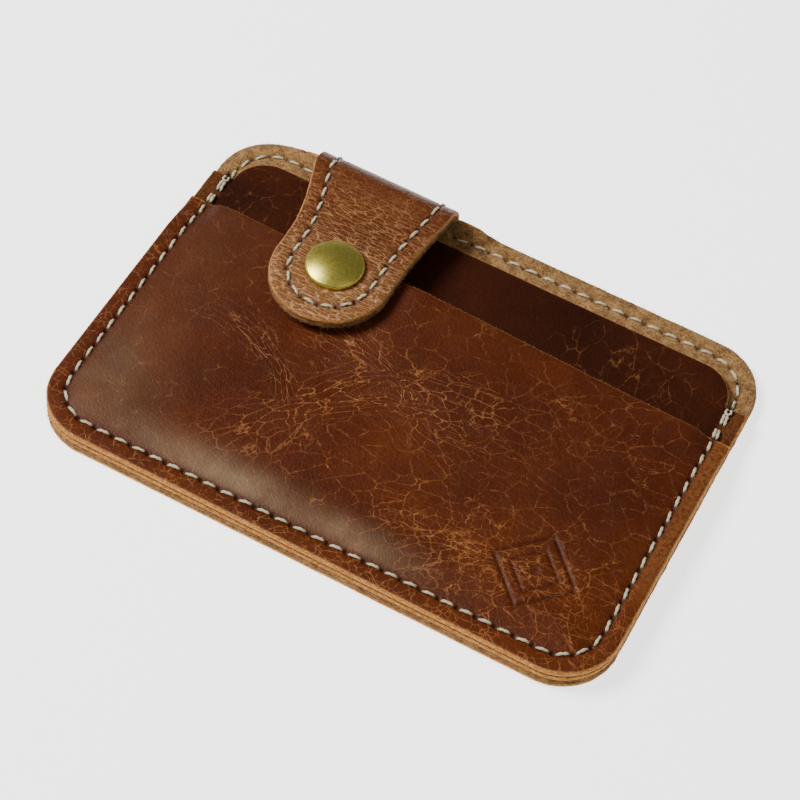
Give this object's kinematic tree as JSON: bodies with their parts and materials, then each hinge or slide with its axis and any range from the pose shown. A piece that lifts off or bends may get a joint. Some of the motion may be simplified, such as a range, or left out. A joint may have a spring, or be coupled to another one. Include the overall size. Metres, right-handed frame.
{
  "type": "card wallet",
  "caption": "Slim leather card wallet: two open card pockets on a stitched back, and a strap that folds over the top and closes with a brass snap.",
  "frame": {"origin": "centre of the rear face, on the surface the wallet lies on", "axes": "+X along the long edge, +Y towards the edge that the strap folds over, +Z out of the pocket side"},
  "size_m": [0.105, 0.075, 0.0114],
  "materials": {
    "front_grain": "waxed pull-up leather, crackle veins",
    "middle_grain": "dark waxed leather, few light veins",
    "back_grain": "waxed pull-up leather",
    "strap_grain": "lighter wrinkled grain",
    "suede": "raw flesh side, fibrous",
    "thread": "twisted off-white thread",
    "brass": "antique brass, satin",
    "spring_steel": "bare spring wire"
  },
  "bodies": {
    "wallet": {"back_panel": "back_grain", "back_lining": "suede", "middle_panel": "middle_grain", "front_panel": "front_grain", "seam_thread_front": "thread", "seam_thread_rear": "thread", "rim_thread_front_left": "thread", "rim_thread_rear_left": "thread", "bartack_left": "thread", "rim_thread_front_right": "thread", "rim_thread_rear_right": "thread", "bartack_right": "thread", "snap_stud": "brass", "snap_post": "brass"},
    "fold": {"fold_shell": "strap_grain", "fold_lining": "suede", "fold_thread_outer_left": "thread", "fold_thread_inner_left": "thread", "fold_thread_outer_right": "thread", "fold_thread_inner_right": "thread"},
    "strap": {"strap_shell": "strap_grain", "strap_lining": "suede", "strap_thread_top": "thread", "strap_thread_under": "thread", "snap_cap": "brass", "snap_socket": "brass", "snap_spring": "spring_steel"}
  },
  "joints": [
    {"name": "fold_lower", "type": "hinge", "parent": "wallet", "child": "fold", "pos_m": [-0.0224, 0.03461, 0.00179], "axis": [-1, 0, 0], "range_deg": [0, 90]},
    {"name": "fold_upper", "type": "hinge", "parent": "fold", "child": "strap", "pos_m": [-0.0224, 0.03461, 0.00761], "axis": [-1, 0, 0], "range_deg": [0, 90]}
  ],
  "couplings": [
    {"joint": "fold_upper", "follows": "fold_lower", "ratio": 1}
  ]
}
